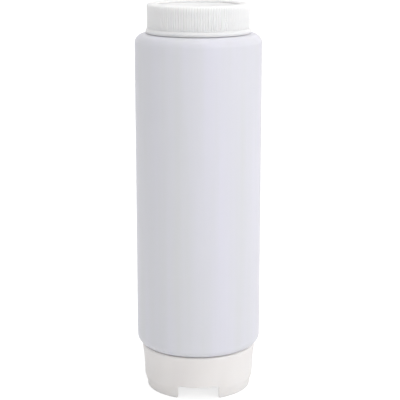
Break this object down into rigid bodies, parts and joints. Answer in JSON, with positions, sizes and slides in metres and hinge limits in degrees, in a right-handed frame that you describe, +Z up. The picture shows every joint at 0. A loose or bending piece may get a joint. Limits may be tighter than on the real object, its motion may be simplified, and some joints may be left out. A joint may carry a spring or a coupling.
{
  "type": "squeeze bottle",
  "caption": "Two-ended squeeze bottle for sauces: ribbed refill lid above, notched screw-on foot with a self-closing slit valve below.",
  "frame": {"origin": "centre of the standing surface under the dispensing cap's foot, on the bottle's axis", "axes": "+Z up along the bottle's axis towards the refill lid; -Y towards the front notch in the foot"},
  "size_m": [0.07, 0.07, 0.2189],
  "materials": {
    "bottle_plastic": "frosted translucent soft polyethylene, satin",
    "cap_plastic": "milky natural plastic, satin moulding",
    "gasket_rubber": "soft white food-grade rubber",
    "valve_silicone": "translucent silicone, smooth",
    "retainer_plastic": "natural white plastic, satin"
  },
  "bodies": {
    "dispensing_cap": {"dispensing_cap": "cap_plastic", "valve_skirt": "valve_silicone", "valve_retainer": "retainer_plastic"},
    "base_gasket": {"base_gasket": "gasket_rubber"},
    "bottle": {"bottle": "bottle_plastic"},
    "refill_lid_gasket": {"refill_lid_gasket": "gasket_rubber"},
    "refill_lid": {"refill_lid": "cap_plastic"},
    "valve_petal_1": {"valve_petal_1": "valve_silicone"},
    "valve_petal_2": {"valve_petal_2": "valve_silicone"},
    "valve_petal_3": {"valve_petal_3": "valve_silicone"},
    "valve_petal_4": {"valve_petal_4": "valve_silicone"}
  },
  "joints": [
    {"name": "base_lift", "type": "slide", "parent": "dispensing_cap", "child": "base_gasket", "axis": [0, 0, 1], "range_m": [0, 0.01483]},
    {"name": "base_unscrew", "type": "hinge", "parent": "base_gasket", "child": "bottle", "pos_m": [0, 0, 0.0132], "axis": [0, 0, 1], "range_deg": [0, 1260]},
    {"name": "lid_lift", "type": "slide", "parent": "bottle", "child": "refill_lid_gasket", "axis": [0, 0, 1], "range_m": [0, 0.01483]},
    {"name": "lid_unscrew", "type": "hinge", "parent": "refill_lid_gasket", "child": "refill_lid", "pos_m": [0, 0, 0.2173], "axis": [0, 0, 1], "range_deg": [0, 1260]},
    {"name": "valve_petal_1_bend", "type": "hinge", "parent": "dispensing_cap", "child": "valve_petal_1", "pos_m": [0.0031, 0, 0.0048], "axis": [0, -1, 0], "range_deg": [0, 60], "stiffness_Nm_per_rad": 0.00003},
    {"name": "valve_petal_2_bend", "type": "hinge", "parent": "dispensing_cap", "child": "valve_petal_2", "pos_m": [0, 0.0031, 0.0048], "axis": [1, 0, 0], "range_deg": [0, 60], "stiffness_Nm_per_rad": 0.00003},
    {"name": "valve_petal_3_bend", "type": "hinge", "parent": "dispensing_cap", "child": "valve_petal_3", "pos_m": [-0.0031, 0, 0.0048], "axis": [0, 1, 0], "range_deg": [0, 60], "stiffness_Nm_per_rad": 0.00003},
    {"name": "valve_petal_4_bend", "type": "hinge", "parent": "dispensing_cap", "child": "valve_petal_4", "pos_m": [0, -0.0031, 0.0048], "axis": [-1, 0, 0], "range_deg": [0, 60], "stiffness_Nm_per_rad": 0.00003}
  ],
  "couplings": [
    {"joint": "base_lift", "follows": "base_unscrew", "m_per_rad": 0.0006737},
    {"joint": "lid_lift", "follows": "lid_unscrew", "m_per_rad": 0.0006737},
    {"joint": "valve_petal_2_bend", "follows": "valve_petal_1_bend", "ratio": 1},
    {"joint": "valve_petal_3_bend", "follows": "valve_petal_1_bend", "ratio": 1},
    {"joint": "valve_petal_4_bend", "follows": "valve_petal_1_bend", "ratio": 1}
  ]
}
